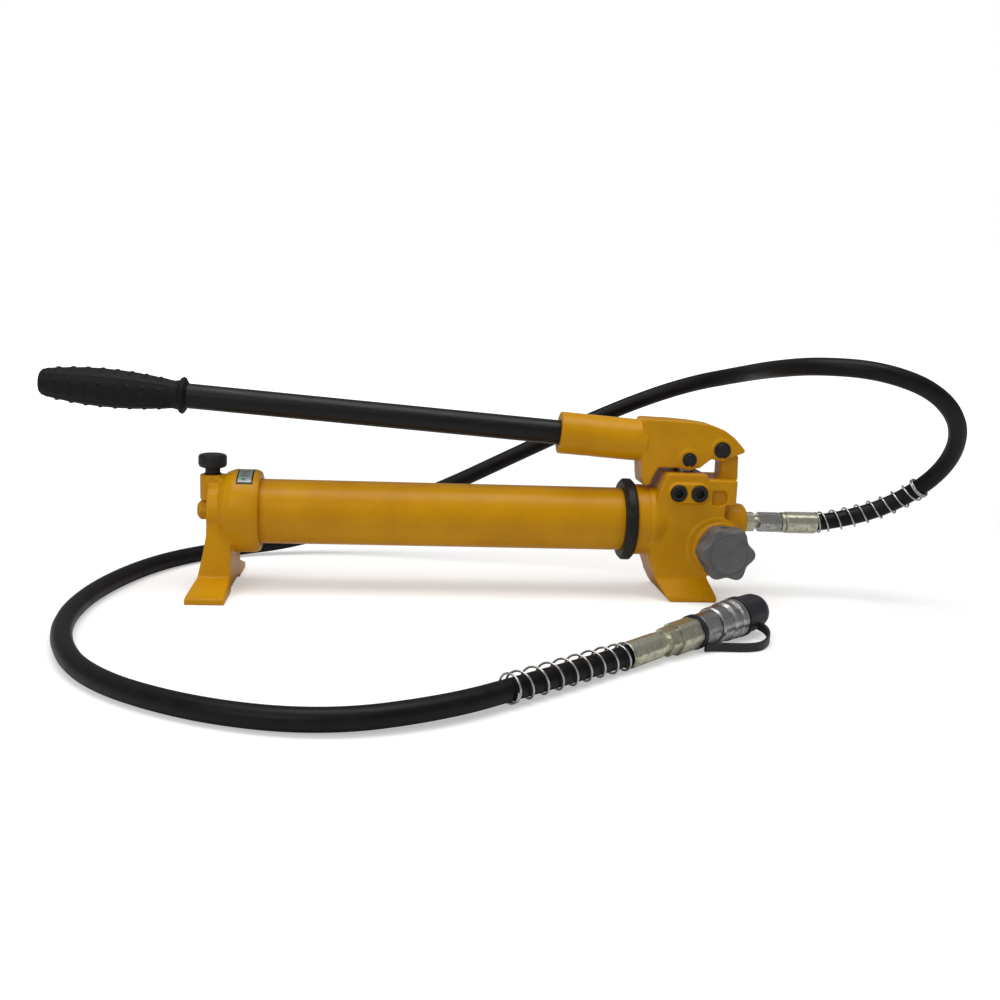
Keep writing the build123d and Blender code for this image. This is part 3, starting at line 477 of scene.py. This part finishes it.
def coil_places(length, turns, shut_start, shut_end):
    """Distance along the hose at each step of the wire, closed up at both ends."""
    steps_per_turn = 28
    shut_pitch = GUARD_WIRE * 1.08
    pitch = (length - (shut_start + shut_end) * shut_pitch) / (turns - shut_start - shut_end)
    places = []
    for step in range(turns * steps_per_turn + 1):
        turn = step / steps_per_turn
        opened = min(max(turn - shut_start, 0.0), turns - shut_start - shut_end)
        places.append((turn, shut_pitch * (turn - opened) + pitch * opened))
    return places


def build_guard(name, node, line, guard):
    """Loosely wound steel wire that keeps the hose from kinking at its fitting."""
    length, turns, shut_start, shut_end, radius, lift = guard
    points = []
    for turn, distance in coil_places(length, turns, shut_start, shut_end):
        place, along, side, up = line.frame(GUARD_GAP + distance)
        place.z += lift * min(distance / 0.03, 1.0)
        angle = math.tau * turn
        points.append(place + radius * (side * math.cos(angle) + up * math.sin(angle)))
    wire = new_curve(name, points, "POLY", GUARD_WIRE / 2, 1)
    wire.data.bevel_resolution = 3
    dress(wire, LOOKS["bright_steel"])
    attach(wire, "root")
    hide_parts(node)
    return wire


# ---- grip ---------------------------------------------------------------------------------------
GRIP_START = 0.3605          # from the socket's mouth, along the handle
GRIP_END = 0.4962
GRIP_PROFILE = [
    (0.3605, 0.0122),
    (0.3612, 0.0146),
    (0.3632, 0.0172),
    (0.3647, 0.0177),
    (0.3660, 0.0171),
    (0.3690, 0.0140),
    (0.3733, 0.0134),
    (0.3850, 0.0149),
    (0.3963, 0.0162),
    (0.4100, 0.0174),
    (0.4252, 0.0181),
    (0.4400, 0.0182),
    (0.4541, 0.0177),
    (0.4660, 0.0167),
    (0.4772, 0.0154),
    (0.4888, 0.0138),
    (0.4935, 0.0124),
    (0.4955, 0.0108),
    (0.4962, 0.0090),
]
GRIP_ROUND = 144
GRIP_RIB_ANGLE = math.radians(37)    # of one rib above the front, with three more round the grip
NUB_ROWS = 8
NUB_FIRST = 0.386
NUB_PITCH = 0.01346
NUB_HALF_LENGTH = 0.0019
NUB_HALF_ANGLE = math.radians(7.5)
NUB_HEIGHT = 0.0010
RIB_HEIGHT = 0.0007
RIB_HALF_ANGLE = math.radians(3.2)


def soft_step(value):
    """1 inside, falling smoothly to 0 at 1."""
    value = min(abs(value), 1.0)
    return (1 - value * value) ** 2


def grip_relief(s, angle):
    """Height of the ribs and nubs above the grip's plain profile."""
    quarter = math.pi / 2
    from_rib = (angle - GRIP_RIB_ANGLE + quarter / 2) % quarter - quarter / 2
    fade = soft_step(max(0.0, (s - 0.484) / 0.010)) * soft_step(max(0.0, (0.379 - s) / 0.008))
    relief = RIB_HEIGHT * soft_step(from_rib / RIB_HALF_ANGLE) * fade
    column = quarter / 4
    nearest = round(from_rib / column)
    row = round((s - NUB_FIRST) / NUB_PITCH)
    if nearest and 0 <= row < NUB_ROWS:
        off_s = (s - NUB_FIRST - row * NUB_PITCH) / NUB_HALF_LENGTH
        off_angle = (from_rib - nearest * column) / NUB_HALF_ANGLE
        flat_top = min(1.0, 1.7 * soft_step(off_s)) * min(1.0, 1.7 * soft_step(off_angle))
        relief += NUB_HEIGHT * flat_top
    return relief


def build_grip():
    """Rubber grip: a palm swell with a collar, four ribs and rows of nubs."""
    work = bmesh.new()
    outward = Vector((-math.cos(HANDLE_SLOPE), 0, math.sin(HANDLE_SLOPE)))
    place = axis_frame(HANDLE_MOUTH, outward)
    rings = []
    count = 300
    for step in range(count + 1):
        s = GRIP_START + (GRIP_END - GRIP_START) * step / count
        radius = profile_radius(GRIP_PROFILE, s)
        ring = []
        for i in range(GRIP_ROUND):
            angle = math.tau * i / GRIP_ROUND
            r = radius + grip_relief(s, angle)
            # local +Y points to the front here, because the axis runs towards -X
            ring.append(place @ Vector((s, r * math.cos(angle), r * math.sin(angle))))
        rings.append(ring)
    for inset in (0.7, 0.35, 0.05):
        ring = []
        for i in range(GRIP_ROUND):
            angle = math.tau * i / GRIP_ROUND
            r = GRIP_PROFILE[-1][1] * inset
            ring.append(place @ Vector((GRIP_END + 0.0002, r * math.cos(angle), r * math.sin(angle))))
        rings.append(ring)
    skin_rings(work, rings)
    grip = add_mesh("rubber_grip", work, LOOKS["grip_rubber"], "lever")
    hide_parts("handle_grip")
    return grip


# ---- studio -------------------------------------------------------------------------------------
FLOOR_GLOW = 0.42
ROOM_LIGHT = 0.24


def build_floor():
    size = 12.0
    work = bmesh.new()
    bmesh.ops.create_grid(work, x_segments=8, y_segments=8, size=size)
    mesh = bpy.data.meshes.new("studio_floor")
    work.to_mesh(mesh)
    work.free()
    floor = bpy.data.objects.new("studio_floor", mesh)
    bpy.context.scene.collection.objects.link(floor)
    look = Look("studio_white", Roughness=0.9, Specular_IOR_Level=0.05)
    look.set(Base_Color=look.mix(look.noise(1.5, 1.0), grey(0.80), grey(0.82)))
    # the floor fades into the white backdrop, and this glow lights nothing else
    distance = look.node("ShaderNodeVectorMath")
    distance.operation = "LENGTH"
    look.feed(distance.inputs[0], look.place)
    glow = look.span(distance.outputs["Value"], 0.5, 2.4, FLOOR_GLOW, 1.0)
    seen = look.tree.nodes.new("ShaderNodeLightPath").outputs["Is Camera Ray"]
    look.set(Emission_Color=grey(1.0), Emission_Strength=look.math("MULTIPLY", glow, seen))
    dress(floor, look.material)


def add_area_light(name, place, aim, size, watts, colour=(1, 1, 1)):
    data = bpy.data.lights.new(name, "AREA")
    data.shape = "RECTANGLE"
    data.size, data.size_y = size
    data.energy = watts
    data.color = colour
    lamp = bpy.data.objects.new(name, data)
    lamp.location = place
    lamp.rotation_mode = "QUATERNION"
    lamp.rotation_quaternion = (Vector(aim) - Vector(place)).to_track_quat("-Z", "Y")
    bpy.context.scene.collection.objects.link(lamp)


def build_lights():
    world = bpy.data.worlds.new("studio_world")
    world.use_nodes = True
    background = world.node_tree.nodes["Background"]
    background.inputs["Color"].default_value = (1.0, 1.0, 1.0, 1)
    # a white backdrop in a room with little light of its own
    seen = world.node_tree.nodes.new("ShaderNodeLightPath").outputs["Is Camera Ray"]
    level = world.node_tree.nodes.new("ShaderNodeMapRange")
    level.inputs["To Min"].default_value = ROOM_LIGHT
    level.inputs["To Max"].default_value = 1.0
    world.node_tree.links.new(seen, level.inputs["Value"])
    world.node_tree.links.new(level.outputs["Result"], background.inputs["Strength"])
    bpy.context.scene.world = world
    middle = (-0.2, 0, 0.1)
    add_area_light("overhead", (-0.25, -0.2, 2.2), middle, (2.4, 1.4), 33)
    add_area_light("front_left", (-1.6, -2.2, 1.5), middle, (1.5, 1.2), 15)


def build_camera():
    data = bpy.data.cameras.new("camera")
    data.lens = CAMERA_LENS
    data.sensor_width = 36
    data.clip_end = 60
    camera = bpy.data.objects.new("camera", data)
    forward = Vector((
        math.sin(CAMERA_YAW) * math.cos(CAMERA_PITCH),
        math.cos(CAMERA_YAW) * math.cos(CAMERA_PITCH),
        -math.sin(CAMERA_PITCH),
    ))
    level = Vector((math.cos(CAMERA_YAW), -math.sin(CAMERA_YAW), 0))
    upward = level.cross(forward)
    right = math.cos(CAMERA_ROLL) * level + math.sin(CAMERA_ROLL) * upward
    top = math.cos(CAMERA_ROLL) * upward - math.sin(CAMERA_ROLL) * level
    placed = Matrix((right, top, -forward)).transposed().to_4x4()
    placed.translation = CAMERA_PLACE
    camera.matrix_world = placed
    bpy.context.scene.collection.objects.link(camera)
    bpy.context.scene.camera = camera
    bpy.context.scene.view_settings.view_transform = "Standard"


# ---- the scene ----------------------------------------------------------------------------------
build_camera()
build_lights()
build_floor()
dress_cad_nodes()
for casting, passes in (("pump_head", 14), ("rear_cap", 12), ("lever_head", 10)):
    soften_casting(casting, 0.9 * MM, passes)

hose = build_hose()
route = line_of(hose)
outlet_guard = build_guard("outlet_guard_wire", "spring_guard_outlet", Line(route), OUTLET_GUARD)
coupler_guard = build_guard("coupler_guard_wire", "spring_guard_coupler", Line(route[::-1]), COUPLER_GUARD)
build_grip()
